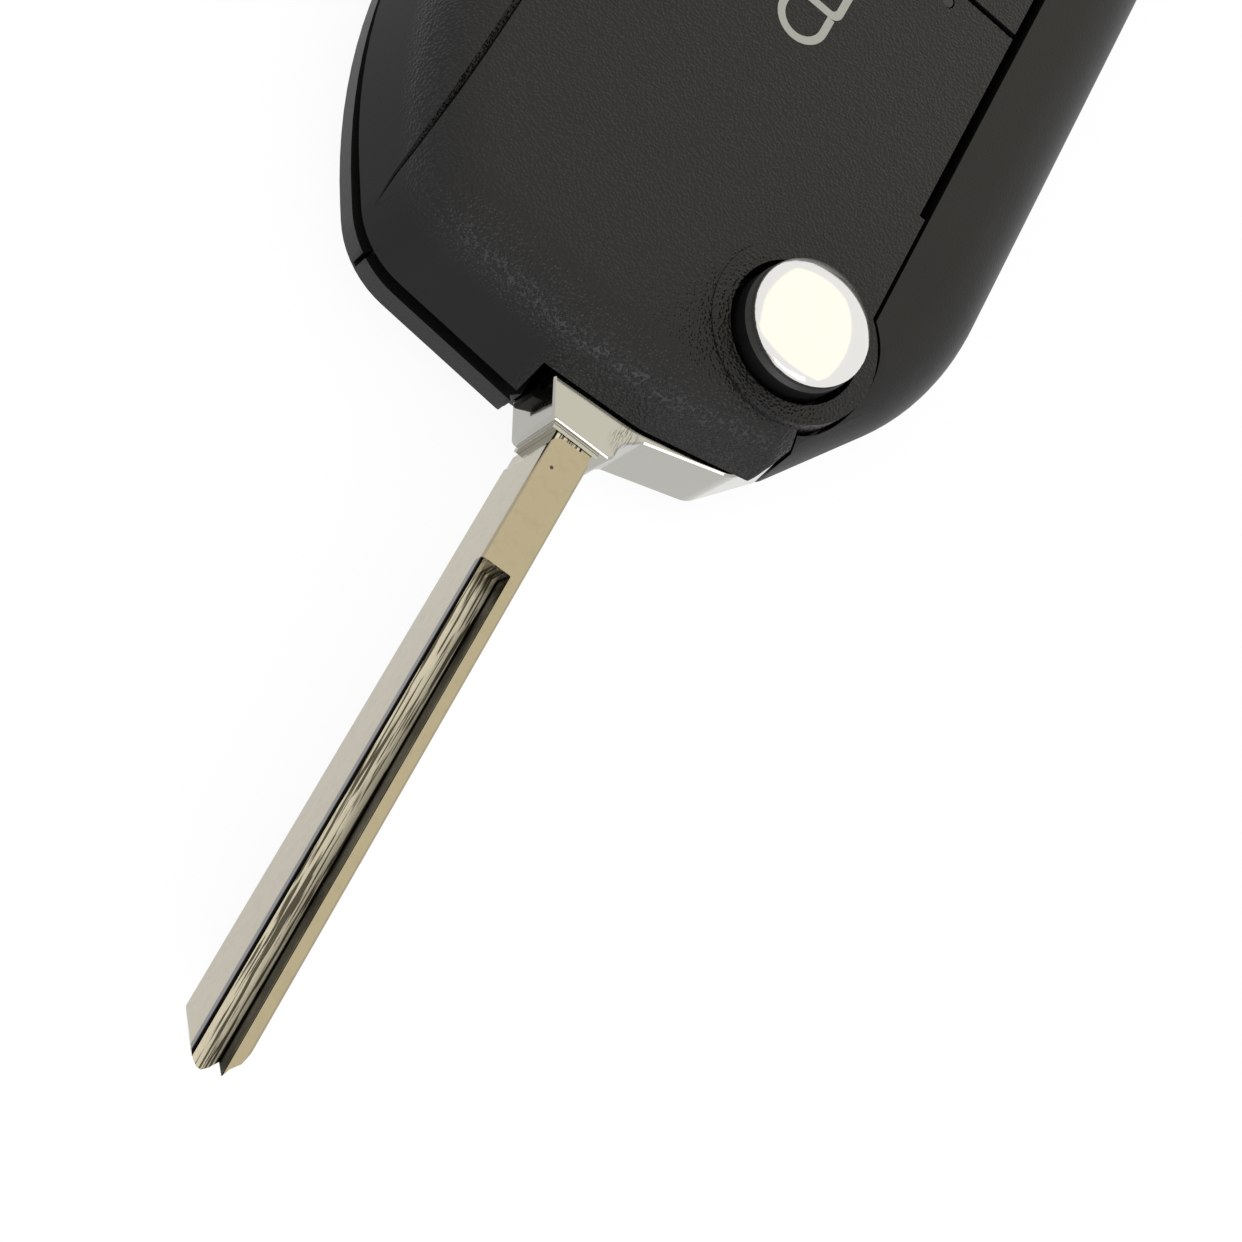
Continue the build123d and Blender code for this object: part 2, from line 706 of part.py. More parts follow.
os.makedirs("parts", exist_ok=True)
for name, solid in parts.items():
    export_step(solid, f"parts/{name}.step")
    box = solid.bounding_box()
    print(f"{name}: {box.min.X:.2f} {box.min.Y:.2f} {box.min.Z:.2f} to "
          f"{box.max.X:.2f} {box.max.Y:.2f} {box.max.Z:.2f}")
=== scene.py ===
import json
import math

import bpy
from mathutils import Matrix, Vector

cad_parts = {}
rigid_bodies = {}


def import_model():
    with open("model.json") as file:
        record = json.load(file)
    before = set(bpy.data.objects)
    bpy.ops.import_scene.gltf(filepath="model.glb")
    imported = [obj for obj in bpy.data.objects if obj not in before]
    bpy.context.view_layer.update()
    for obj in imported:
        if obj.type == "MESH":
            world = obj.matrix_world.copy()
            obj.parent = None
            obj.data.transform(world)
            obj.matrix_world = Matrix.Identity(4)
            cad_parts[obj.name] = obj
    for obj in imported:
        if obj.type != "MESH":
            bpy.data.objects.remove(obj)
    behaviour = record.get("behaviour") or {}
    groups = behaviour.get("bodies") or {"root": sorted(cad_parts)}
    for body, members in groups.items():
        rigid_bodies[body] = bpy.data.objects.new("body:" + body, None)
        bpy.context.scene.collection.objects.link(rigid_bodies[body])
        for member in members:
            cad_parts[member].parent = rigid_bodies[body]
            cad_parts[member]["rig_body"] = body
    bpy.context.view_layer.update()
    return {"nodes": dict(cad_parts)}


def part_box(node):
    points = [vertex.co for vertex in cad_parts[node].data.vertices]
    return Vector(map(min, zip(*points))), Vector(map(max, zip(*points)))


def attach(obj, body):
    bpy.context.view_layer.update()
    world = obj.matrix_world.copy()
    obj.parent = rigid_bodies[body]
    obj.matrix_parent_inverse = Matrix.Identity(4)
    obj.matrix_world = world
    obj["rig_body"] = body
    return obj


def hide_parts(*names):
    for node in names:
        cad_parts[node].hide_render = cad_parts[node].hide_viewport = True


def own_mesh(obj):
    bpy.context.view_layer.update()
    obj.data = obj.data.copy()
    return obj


bl_info = {
    "name": "Flip key remote shell",
    "version": (1, 0, 0),
    "blender": (4, 5, 0),
    "location": "View3D > Sidebar > Flip Key",
    "description": "Dresses the pieces of a flip key remote and sets up its studio",
    "category": "Object",
}

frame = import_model()
nodes = frame["nodes"]

MM = 0.001
FACE_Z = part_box("lock_flap")[1].z

# the photograph's camera in the part's frame
CAMERA_PLACE = Vector((-40.869, -86.510, 138.723)) * MM
CAMERA_RIGHT = Vector((0.77349087, 0.43389924, 0.46199926))
CAMERA_DOWN = Vector((0.57131872, -0.79292293, -0.21182103))
CAMERA_AHEAD = Vector((0.27442083, 0.42779046, -0.86121341))
CAMERA_LENS = 69.57
SENSOR_WIDTH = 36

FLOOR_SIZE = 6.0
FLOOR_DROP = 0.05 * MM
PAPER_COLOR = "#f2f3f5"
WHITE_SHARE = 0.8
ROOM_COLOR = "#b4c0dc"

# marks on the metal
SCRATCHES_AT = Vector((-5.1, -11.7, 9.0)) * MM
PUNCH_AT = Vector((-8.4, -16.31, 9.0)) * MM
SCRATCH_COLOR = "#2b2721"
WORN_COLOR = "#8d836e"
MILLED_COLOR = "#c2bcab"
CUTTER_COLOR = "#3b352a"
PUNCH_COLOR = "#343331"
# dark lines on the groove's edges, and painted shade at the foot of its walls
GROOVE_LINE_AND_SHADE_COLOR = "#0d0c0a"

# how a CAD node's loose triangles are merged, and which edges are rounded or shaded smooth
WELD = 0.002 * MM
FLAT_WITHIN = math.radians(0.3)
EDGE_FROM = math.radians(35)
SMOOTH_BELOW = math.radians(30)

# printed symbols, in mm
LOCK_SYMBOL_AT = (-10.2, 22.55)
SYMBOL_LINE = 0.6


def linear(color):
    """sRGB hex string to linear RGBA."""
    parts = [int(color[i:i + 2], 16) / 255 for i in (1, 3, 5)]
    return (*[c / 12.92 if c <= 0.04045 else ((c + 0.055) / 1.055) ** 2.4 for c in parts], 1.0)


def add_node(tree, kind, inputs=None, **settings):
    """Adds a node; settings are its properties, and an input is a value, a node or a node's output."""
    node = tree.nodes.new(kind)
    for name, value in settings.items():
        setattr(node, name, value)
    for name, value in (inputs or {}).items():
        if isinstance(value, bpy.types.Node):
            value = next(output for output in value.outputs if output.enabled)
        if isinstance(value, bpy.types.NodeSocket):
            tree.links.new(value, node.inputs[name])
        else:
            node.inputs[name].default_value = value
    return node


def new_material(name):
    """Empty node material, its tree and the place of a point on the piece."""
    material = bpy.data.materials.new(name)
    material.use_nodes = True
    tree = material.node_tree
    tree.nodes.clear()
    return material, tree, add_node(tree, "ShaderNodeTexCoord").outputs["Object"]


def surface(tree, inputs):
    """Ends a material with a principled shader that has the given inputs."""
    shader = add_node(tree, "ShaderNodeBsdfPrincipled", inputs)
    add_node(tree, "ShaderNodeOutputMaterial", {"Surface": shader})


class KeyFinishes(bpy.types.PropertyGroup):
    """Colours and surface values of the remote."""
    face_color: bpy.props.StringProperty(
        name="Face", description="Moulded face plastic, sRGB hex", default="#171716")
    side_color: bpy.props.StringProperty(
        name="Side", description="Smooth side plastic, sRGB hex", default="#0c0c0b")
    grain_size: bpy.props.FloatProperty(
        name="Grain", description="Spacing of the leather grain", default=0.23 * MM, unit="LENGTH")
    chrome_color: bpy.props.StringProperty(
        name="Chrome", description="Chrome plating, sRGB hex", default="#adaca5")
    nickel_color: bpy.props.StringProperty(
        name="Nickel", description="Nickel plated blade, sRGB hex", default="#a59b82")
    icon_color: bpy.props.StringProperty(
        name="Icon", description="Printed key symbols, sRGB hex", default="#dfe0d4")


class KeySizes(bpy.types.PropertyGroup):
    """Sizes that scene pieces are made to."""
    print_thick: bpy.props.FloatProperty(
        name="Print", description="Thickness of the printed symbols", default=0.02 * MM, unit="LENGTH")
    edge_round: bpy.props.FloatProperty(
        name="Edge", description="Round on moulded edges", default=0.12 * MM, unit="LENGTH")
    head_round: bpy.props.FloatProperty(
        name="Head edge", description="Round on the chrome head's edges", default=0.03 * MM, unit="LENGTH")
    blade_round: bpy.props.FloatProperty(
        name="Blade edge", description="Round on the blade's edges", default=0.05 * MM, unit="LENGTH")
    groove_from: bpy.props.FloatProperty(
        name="Groove start", description="Axis of rotation to the blade's groove", default=24.1 * MM,
        unit="LENGTH")
    groove_right: bpy.props.FloatProperty(
        name="Groove wall", description="Blade centre line to the groove's wide lip", default=0.63 * MM,
        unit="LENGTH")
    groove_width: bpy.props.FloatProperty(
        name="Groove width", description="Width of the milled groove", default=2.0 * MM, unit="LENGTH")


def face_plastic():
    """ABS moulded against a spark-eroded leather grain; smooth low on the left flank."""
    finishes = bpy.context.scene.key_finishes
    material, tree, place = new_material("abs_leather_grain")
    per_metre = 1 / finishes.grain_size
    # pebbles set out of line by a coarser noise, with finer unevenness on them
    warp = add_node(tree, "ShaderNodeTexNoise", {"Vector": place, "Scale": per_metre * 0.5, "Detail": 2.0})
    bent = add_node(tree, "ShaderNodeVectorMath", {0: warp.outputs["Color"], 1: (0.1 * MM,) * 3, 2: place},
                    operation="MULTIPLY_ADD")
    cells = add_node(tree, "ShaderNodeTexVoronoi", {"Vector": bent, "Scale": per_metre, "Smoothness": 0.4},
                     feature="SMOOTH_F1")
    pebbles = add_node(tree, "ShaderNodeMapRange", {
        "Value": cells, "From Min": 0.05, "From Max": 0.6, "To Min": 1.0, "To Max": 0.0})
    fine = add_node(tree, "ShaderNodeTexNoise", {"Vector": place, "Scale": per_metre * 1.3, "Detail": 2.0})
    fine_share = 0.5
    height = add_node(tree, "ShaderNodeMath", {0: fine, 1: fine_share, 2: pebbles}, operation="MULTIPLY_ADD")
    # the grain fades out low on the flank left of the blade
    split = add_node(tree, "ShaderNodeSeparateXYZ", {"Vector": place})
    above = add_node(tree, "ShaderNodeMapRange", {
        "Value": split.outputs["Z"], "From Min": 9.6 * MM, "From Max": 11.6 * MM})
    beside = add_node(tree, "ShaderNodeMapRange", {
        "Value": split.outputs["X"], "From Min": -13.5 * MM, "From Max": -11.5 * MM})
    grain = add_node(tree, "ShaderNodeMath", {0: above, 1: beside}, operation="MAXIMUM")
    strength = add_node(tree, "ShaderNodeMapRange", {"Value": grain, "To Min": 0.05, "To Max": 0.9})
    tone = add_node(tree, "ShaderNodeMix", {
        "A": linear(finishes.side_color), "B": linear(finishes.face_color), "Factor": grain,
    }, data_type="RGBA")
    surface(tree, {
        "Base Color": tone,
        "Roughness": add_node(tree, "ShaderNodeMapRange", {"Value": grain, "To Min": 0.45, "To Max": 0.29}),
        "IOR": 1.5,
        "Specular IOR Level": 0.28,
        "Normal": add_node(tree, "ShaderNodeBump", {
            "Height": height, "Strength": strength, "Distance": 0.08 * MM}),
    })
    return material


def side_plastic():
    """The same ABS with a fine satin texture."""
    material, tree, place = new_material("abs_fine_satin")
    fine = add_node(tree, "ShaderNodeTexNoise", {"Vector": place, "Scale": 1 / (0.2 * MM), "Detail": 3.0})
    drift = add_node(tree, "ShaderNodeTexNoise", {"Vector": place, "Scale": 1 / (9 * MM), "Detail": 2.0})
    surface(tree, {
        "Base Color": linear(bpy.context.scene.key_finishes.side_color),
        "Roughness": add_node(tree, "ShaderNodeMapRange", {"Value": drift, "To Min": 0.4, "To Max": 0.52}),
        "Specular IOR Level": 0.3,
        "Normal": add_node(tree, "ShaderNodeBump", {"Height": fine, "Strength": 0.6, "Distance": 0.04 * MM}),
    })
    return material


def chrome_plating():
    """Bright chrome over a die-cast head: near mirror, with faint haze."""
    finishes = bpy.context.scene.key_finishes
    material, tree, place = new_material("chrome_plating")
    drift = add_node(tree, "ShaderNodeTexNoise", {"Vector": place, "Scale": 1 / (2.5 * MM), "Detail": 4.0})
    # hairline scratches on one spot
    drawn = add_node(tree, "ShaderNodeMapping", {
        "Vector": place, "Rotation": (0.0, 0.0, 0.6),
        "Scale": (1 / (0.05 * MM), 1 / (0.9 * MM), 1 / (0.9 * MM))})
    lines = add_node(tree, "ShaderNodeTexNoise", {"Vector": drawn, "Scale": 1.0, "Detail": 2.0})
    lines = add_node(tree, "ShaderNodeMapRange", {"Value": lines, "From Min": 0.54, "From Max": 0.6})
    away = add_node(tree, "ShaderNodeVectorMath", {0: place, 1: SCRATCHES_AT}, operation="DISTANCE")
    spot = add_node(tree, "ShaderNodeMapRange", {
        "Value": away, "From Min": 0.7 * MM, "From Max": 1.3 * MM, "To Min": 0.85, "To Max": 0.0})
    scratches = add_node(tree, "ShaderNodeMath", {0: lines, 1: spot}, operation="MULTIPLY")
    tone = add_node(tree, "ShaderNodeMix", {
        "A": linear(finishes.chrome_color), "B": linear(SCRATCH_COLOR), "Factor": scratches,
    }, data_type="RGBA")
    surface(tree, {
        "Base Color": tone,
        "Metallic": 1.0,
        "Roughness": add_node(tree, "ShaderNodeMapRange", {"Value": drift, "To Min": 0.05, "To Max": 0.12}),
    })
    return material


def groove_parts(tree, place):
    """Masks on the blade: inside its two grooves, dark lines along their edges, and painted shade where their
    floors meet the walls.
    """
    sizes = bpy.context.scene.key_sizes
    low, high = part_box("key_blade")
    wide_wall = sizes.groove_right
    narrow_wall = wide_wall - sizes.groove_width
    split = add_node(tree, "ShaderNodeSeparateXYZ", {"Vector": place})
    # across: from the centre line towards the wide lip, turned over for the groove in the other face
    up = add_node(tree, "ShaderNodeMath", {0: split.outputs["Z"], 1: (low.z + high.z) / 2},
                  operation="SUBTRACT")
    side = add_node(tree, "ShaderNodeMath", {0: up}, operation="SIGN")
    offset = add_node(tree, "ShaderNodeMath", {0: split.outputs["X"], 1: (low.x + high.x) / 2},
                      operation="SUBTRACT")
    across = add_node(tree, "ShaderNodeMath", {0: offset, 1: side}, operation="MULTIPLY")
    height = add_node(tree, "ShaderNodeMath", {0: up}, operation="ABSOLUTE")
    depth = add_node(tree, "ShaderNodeMath", {0: (high.z - low.z) / 2, 1: height}, operation="SUBTRACT")

    before_wide = add_node(tree, "ShaderNodeMapRange", {
        "Value": across, "From Min": wide_wall + 0.02 * MM, "From Max": wide_wall + 0.06 * MM,
        "To Min": 1.0, "To Max": 0.0})
    past_narrow = add_node(tree, "ShaderNodeMapRange", {
        "Value": across, "From Min": narrow_wall - 0.1 * MM, "From Max": narrow_wall - 0.04 * MM})
    below_face = add_node(tree, "ShaderNodeMapRange", {
        "Value": depth, "From Min": 0.12 * MM, "From Max": 0.3 * MM})
    inside = add_node(tree, "ShaderNodeMath", {0: before_wide, 1: below_face}, operation="MULTIPLY")
    inside = add_node(tree, "ShaderNodeMath", {0: inside, 1: past_narrow}, operation="MULTIPLY")

    # the groove's upper edge on the wide lip, and all of the narrow lip
    rim = add_node(tree, "ShaderNodeMath", {0: across, 1: wide_wall, 2: 0.05 * MM}, operation="COMPARE")
    lip = add_node(tree, "ShaderNodeMapRange", {
        "Value": across, "From Min": narrow_wall + 0.02 * MM, "From Max": narrow_wall + 0.1 * MM,
        "To Min": 1.0, "To Max": 0.0})
    shallow = add_node(tree, "ShaderNodeMapRange", {
        "Value": depth, "From Min": 0.9 * MM, "From Max": 1.1 * MM, "To Min": 1.0, "To Max": 0.0})
    lip = add_node(tree, "ShaderNodeMath", {0: lip, 1: shallow}, operation="MULTIPLY")
    edges = add_node(tree, "ShaderNodeMath", {0: rim, 1: lip}, operation="MAXIMUM")
    along = add_node(tree, "ShaderNodeMapRange", {
        "Value": split.outputs["Y"],
        "From Min": -sizes.groove_from - 0.05 * MM, "From Max": -sizes.groove_from,
        "To Min": 1.0, "To Max": 0.0})
    edges = add_node(tree, "ShaderNodeMath", {0: edges, 1: along}, operation="MULTIPLY")

    # painted shade on both sides of the floor, where it meets the walls, which face along X at both ends of
    # the swing
    wide_foot_shade = add_node(tree, "ShaderNodeMapRange", {
        "Value": across, "From Min": wide_wall - 0.14 * MM, "From Max": wide_wall - 0.08 * MM})
    narrow_foot_shade = add_node(tree, "ShaderNodeMapRange", {
        "Value": across, "From Min": narrow_wall + 0.08 * MM, "From Max": narrow_wall + 0.14 * MM,
        "To Min": 1.0, "To Max": 0.0})
    foot = add_node(tree, "ShaderNodeMath", {0: wide_foot_shade, 1: narrow_foot_shade}, operation="MAXIMUM")
    facing = add_node(tree, "ShaderNodeNewGeometry").outputs["True Normal"]
    facing = add_node(tree, "ShaderNodeSeparateXYZ", {"Vector": facing}).outputs["X"]
    tilt = add_node(tree, "ShaderNodeMath", {0: facing}, operation="ABSOLUTE")
    wall_tilt = 0.6
    no_wall = add_node(tree, "ShaderNodeMath", {0: tilt, 1: wall_tilt}, operation="LESS_THAN")
    floor = add_node(tree, "ShaderNodeMath", {0: inside, 1: no_wall}, operation="MULTIPLY")
    foot = add_node(tree, "ShaderNodeMath", {0: foot, 1: floor}, operation="MULTIPLY")
    return inside, add_node(tree, "ShaderNodeMath", {0: edges, 1: foot}, operation="MAXIMUM")


def nickel_steel():
    """Nickel plated steel of the blade, with cutter lines and a rougher surface in its grooves."""
    finishes = bpy.context.scene.key_finishes
    material, tree, place = new_material("nickel_plated_steel")
    # the second mask holds the dark edge lines and the painted shade at the foot of the groove walls
    inside, dark_lines_and_shade = groove_parts(tree, place)
    # punch mark near the root
    away = add_node(tree, "ShaderNodeVectorMath", {0: place, 1: PUNCH_AT}, operation="DISTANCE")
    punch = add_node(tree, "ShaderNodeMapRange", {
        "Value": away, "From Min": 0.11 * MM, "From Max": 0.15 * MM, "To Min": 0.9, "To Max": 0.0})
    # cutter lines on the groove's floor, drawn about 0.2 mm apart, coarser than real ones so that they show
    milled = add_node(tree, "ShaderNodeMapping", {
        "Vector": place, "Scale": (1 / (0.22 * MM), 1 / (9 * MM), 0.0)})
    milled = add_node(tree, "ShaderNodeTexNoise", {
        "Vector": milled, "Scale": 1.0, "Detail": 2.0, "Roughness": 0.7})
    ridges = add_node(tree, "ShaderNodeMapRange", {"Value": milled, "From Min": 0.46, "From Max": 0.49})
    ridges = add_node(tree, "ShaderNodeMath", {0: ridges, 1: inside}, operation="MULTIPLY")
    cuts = add_node(tree, "ShaderNodeMapRange", {
        "Value": milled, "From Min": 0.46, "From Max": 0.49, "To Min": 0.9, "To Max": 0.0})
    cuts = add_node(tree, "ShaderNodeMath", {0: cuts, 1: inside}, operation="MULTIPLY")
    # blade faces: fine drawn grain in the bump, and patches of handling wear in tone and gloss
    drawn = add_node(tree, "ShaderNodeMapping", {
        "Vector": place, "Scale": (1 / (0.05 * MM), 1 / (1.6 * MM), 1 / (0.05 * MM))})
    drawn = add_node(tree, "ShaderNodeTexNoise", {"Vector": drawn, "Scale": 1.0, "Detail": 3.0})
    worn = add_node(tree, "ShaderNodeTexNoise", {
        "Vector": place, "Scale": 1 / (0.9 * MM), "Detail": 5.0, "Roughness": 0.65})
    wear = add_node(tree, "ShaderNodeMapRange", {
        "Value": worn, "From Min": 0.5, "From Max": 0.75, "To Min": 0.0, "To Max": 0.3})
    tone = linear(finishes.nickel_color)
    # the last layer paints the dark edge lines and the shade at the foot of the groove walls
    layers = ((WORN_COLOR, wear), (MILLED_COLOR, inside), (CUTTER_COLOR, cuts), (PUNCH_COLOR, punch),
              (GROOVE_LINE_AND_SHADE_COLOR, dark_lines_and_shade))
    for color, share in layers:
        tone = add_node(tree, "ShaderNodeMix", {"A": tone, "B": linear(color), "Factor": share},
                        data_type="RGBA")
    drawn_share = 0.25
    height = add_node(tree, "ShaderNodeMath", {0: drawn, 1: drawn_share, 2: ridges}, operation="MULTIPLY_ADD")
    polish = add_node(tree, "ShaderNodeMapRange", {
        "Value": worn, "From Min": 0.3, "From Max": 0.7, "To Min": 0.09, "To Max": 0.17})
    milled_share = 0.2
    rough = add_node(tree, "ShaderNodeMath", {0: inside, 1: milled_share, 2: polish},
                     operation="MULTIPLY_ADD")
    bump = add_node(tree, "ShaderNodeBump", {"Height": height, "Strength": 0.5, "Distance": 0.012 * MM})
    surface(tree, {
        "Base Color": tone,
        "Metallic": 1.0,
        "Roughness": rough,
        "Normal": bump,
    })
    return material


def plain_plastic(name, color, roughness):
    """Moulded plastic with a slight uneven gloss."""
    material, tree, place = new_material(name)
    drift = add_node(tree, "ShaderNodeTexNoise", {"Vector": place, "Scale": 1 / (0.5 * MM), "Detail": 3.0})
    surface(tree, {
        "Base Color": linear(color),
        "Roughness": add_node(tree, "ShaderNodeMapRange", {
            "Value": drift, "To Min": roughness - 0.06, "To Max": roughness + 0.06}),
        "Normal": add_node(tree, "ShaderNodeBump", {"Height": drift, "Strength": 0.4, "Distance": 0.01 * MM}),
    })
    return material


def turned_steel(name, color, roughness):
    """Bright steel with fine tool marks."""
    material, tree, place = new_material(name)
    marks = add_node(tree, "ShaderNodeTexNoise", {"Vector": place, "Scale": 1 / (0.3 * MM), "Detail": 4.0})
    surface(tree, {
        "Base Color": linear(color),
        "Metallic": 1.0,
        "Roughness": add_node(tree, "ShaderNodeMapRange", {
            "Value": marks, "To Min": roughness - 0.08, "To Max": roughness + 0.08}),
    })
    return material


def deselect():
    if bpy.context.object and bpy.context.object.mode != "OBJECT":
        bpy.ops.object.mode_set(mode="OBJECT")
    bpy.ops.object.select_all(action="DESELECT")


def select_only(piece):
    deselect()
    piece.select_set(True)
    bpy.context.view_layer.objects.active = piece


def body_of(node):
    return nodes[node]["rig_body"]


def dress(node, name, material, edge=0.0, segments=3):
    """Copy of a CAD node with merged faces, rounded edges and smooth shading."""
    piece = nodes[node].copy()
    piece.data = nodes[node].data.copy()
    piece.name = name
    piece.parent = None
    for key in list(piece.keys()):
        if key.startswith("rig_"):
            del piece[key]
    bpy.context.scene.collection.objects.link(piece)
    select_only(piece)
    bpy.ops.mesh.customdata_custom_splitnormals_clear()
    bpy.ops.object.mode_set(mode="EDIT")
    bpy.ops.mesh.select_all(action="SELECT")
    bpy.ops.mesh.remove_doubles(threshold=WELD)
    bpy.ops.mesh.dissolve_limited(angle_limit=FLAT_WITHIN)
    bpy.ops.object.mode_set(mode="OBJECT")
    if edge:
        bevel = piece.modifiers.new("edges", "BEVEL")
        bevel.width = edge
        bevel.segments = segments
        bevel.limit_method = "ANGLE"
        bevel.angle_limit = EDGE_FROM
        bevel.use_clamp_overlap = True
        bevel.miter_outer = "MITER_ARC"
        bpy.ops.object.modifier_apply(modifier=bevel.name)
    bpy.ops.object.shade_smooth_by_angle(angle=SMOOTH_BELOW)
    weighted = piece.modifiers.new("normals", "WEIGHTED_NORMAL")
    weighted.keep_sharp = True
    bpy.ops.object.modifier_apply(modifier=weighted.name)
    piece.data.materials.clear()
    piece.data.materials.append(material)
    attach(piece, body_of(node))
    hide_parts(node)
    return piece


def finish_node(node, material):
    """Puts a material on a CAD node that keeps its own mesh."""
    piece = nodes[node]
    piece.data.materials.clear()
    piece.data.materials.append(material)


def seen_rays(tree):
    """1 for rays that show the background: from the camera, or off gloss or through glass."""
    path = add_node(tree, "ShaderNodeLightPath").outputs
    bent = add_node(tree, "ShaderNodeMath", {0: path["Is Glossy Ray"], 1: path["Is Transmission Ray"]},
                    operation="MAXIMUM")
    return add_node(tree, "ShaderNodeMath", {0: path["Is Camera Ray"], 1: bent}, operation="MAXIMUM")


class FLIPKEY_OT_stage(bpy.types.Operator):
    """Floor, lamps, world and camera"""
    bl_idname = "flipkey.stage"
    bl_label = "Stage"

    def execute(self, context):
        deselect()
        self.floor()
        self.world(context.scene)
        self.lamp("ceiling", place=(0.14, 0.77, 0.5), away=(0, 0, 1), size=(1.4, 2.3), radiance=0.3,
                  color="#fff0b8")
        window = (0.16, -0.48, 0.27)
        self.lamp("window", place=window, away=window, size=(0.5, 0.18), radiance=3.2, color="#ffffff")
        self.camera(context.scene)
        context.scene.view_settings.view_transform = "Standard"
        return {"FINISHED"}

    def floor(self):
        """Pale paper that shows near white where the background is seen, and keeps part of its shadow."""
        bpy.ops.mesh.primitive_plane_add(size=FLOOR_SIZE, location=(0, 0, -FLOOR_DROP))
        floor = bpy.context.object
        floor.name = "floor"
        material = bpy.data.materials.new("floor_paper")
        material.use_nodes = True
        tree = material.node_tree
        tree.nodes.clear()
        paper = add_node(tree, "ShaderNodeBsdfDiffuse", {"Color": linear(PAPER_COLOR)})
        white = add_node(tree, "ShaderNodeEmission", {"Color": (1, 1, 1, 1), "Strength": 1.15})
        share = add_node(tree, "ShaderNodeMath", {0: seen_rays(tree), 1: WHITE_SHARE}, operation="MULTIPLY")
        mix = add_node(tree, "ShaderNodeMixShader", {0: share, 1: paper, 2: white})
        add_node(tree, "ShaderNodeOutputMaterial", {"Surface": mix})
        floor.data.materials.append(material)

    def world(self, scene):
        """White where it is seen, a dim bluish room as light."""
        scene.world = bpy.data.worlds.new("studio")
        scene.world.use_nodes = True
        tree = scene.world.node_tree
        tree.nodes.clear()
        room = add_node(tree, "ShaderNodeBackground", {"Color": linear(ROOM_COLOR), "Strength": 0.4})
        white = add_node(tree, "ShaderNodeBackground", {"Color": (1, 1, 1, 1), "Strength": 1.0})
        mix = add_node(tree, "ShaderNodeMixShader", {0: seen_rays(tree), 1: room, 2: white})
        add_node(tree, "ShaderNodeOutputWorld", {"Surface": mix})

    def camera(self, scene):
        """Camera at the photograph's place and angle."""
        camera = bpy.data.cameras.new("camera")
        camera.sensor_width = SENSOR_WIDTH
        camera.lens = CAMERA_LENS
        camera.clip_start = 0.01
        camera.clip_end = 20
        viewer = bpy.data.objects.new("camera", camera)
        scene.collection.objects.link(viewer)
        turn = Matrix((CAMERA_RIGHT, -CAMERA_DOWN, -CAMERA_AHEAD)).transposed().to_4x4()
        viewer.matrix_world = Matrix.Translation(CAMERA_PLACE) @ turn
        scene.camera = viewer

    def lamp(self, name, place, away, size, radiance, color):
        """Rectangular lamp, turned to shine the other way from the direction given as away."""
        data = bpy.data.lights.new(name, "AREA")
        data.shape = "RECTANGLE"
        data.size, data.size_y = size
        data.energy = radiance * math.pi * size[0] * size[1]
        data.color = linear(color)[:3]
        lamp = bpy.data.objects.new(name, data)
        lamp.location = place
        lamp.rotation_mode = "QUATERNION"
        lamp.rotation_quaternion = Vector(away).to_track_quat("Z", "Y")
        bpy.context.scene.collection.objects.link(lamp)


class FLIPKEY_OT_case(bpy.types.Operator):
    """Both case halves"""
    bl_idname = "flipkey.case"
    bl_label = "Case halves"

    def execute(self, context):
        sizes = context.scene.key_sizes
        dress("front_case", "front_case_skin", face_plastic(), sizes.edge_round)
        dress("rear_case", "rear_case_skin", side_plastic(), sizes.edge_round)
        return {"FINISHED"}


def arc(x, y, radius, start, end, count):
    """Points on an arc, angles in degrees."""
    turns = [math.radians(start + (end - start) * i / count) for i in range(count + 1)]
    return [(x + radius * math.cos(a), y + radius * math.sin(a)) for a in turns]


def rounded(x0, x1, y0, y1, radius):
    """Closed outline of a rectangle with round corners."""
    corners = ((x1 - radius, y1 - radius, 0), (x0 + radius, y1 - radius, 90), (x0 + radius, y0 + radius, 180),
               (x1 - radius, y0 + radius, 270))
    return [point for x, y, turn in corners for point in arc(x, y, radius, turn, turn + 90, 6)]


def stroke(points, width):
    """Closed outline of a line drawn along the points."""
    sides = ([], [])
    for i, (x, y) in enumerate(points):
        before, after = points[max(i - 1, 0)], points[min(i + 1, len(points) - 1)]
        run = Vector((after[0] - before[0], after[1] - before[1])).normalized() * width / 2
        sides[0].append((x - run.y, y + run.x))
        sides[1].append((x + run.y, y - run.x))
    return sides[0] + sides[1][::-1]


def padlock(shift):
    """Outlines of a padlock in mm, up is +Y; shift moves the shackle sideways to open it."""
    half, low, high = 2.4, -2.8, 0.75
    reach, foot, crown = 1.75, 0.76, 2.1
    body = [rounded(-half, half, low, high, 0.8),
            rounded(SYMBOL_LINE - half, half - SYMBOL_LINE, low + SYMBOL_LINE, high - SYMBOL_LINE, 0.35)]
    shackle = [(shift - reach, foot), *arc(shift, crown, reach, 180, 0, 24)]
    if not shift:
        shackle.append((reach, foot))
    return [body, [stroke(shackle, SYMBOL_LINE)]]


def car_boot():
    """Outlines of a car from the side with its boot lid up, in mm."""
    shell = [(-3.1, -1.0), (-3.1, 0.1), (-2.9, 0.35), (-1.9, 0.55), (-1.0, 1.35), (0.9, 1.35), (1.6, 0.6),
             (2.9, 0.5), (3.1, 0.3), (3.1, -1.0)]
    rim = [(-2.65, -0.6), (-2.65, 0.0), (-1.7, 0.15), (-0.8, 0.92), (0.7, 0.92), (1.4, 0.18), (2.65, 0.05),
           (2.65, -0.6)]
    wheels = [[arc(x, -1.15, 0.62, 0, 350, 20)] for x in (-1.75, 1.75)]
    lid = stroke([(1.25, 1.25), (2.9, 2.3)], 0.45)
    return [[shell, rim], *wheels, [lid]]


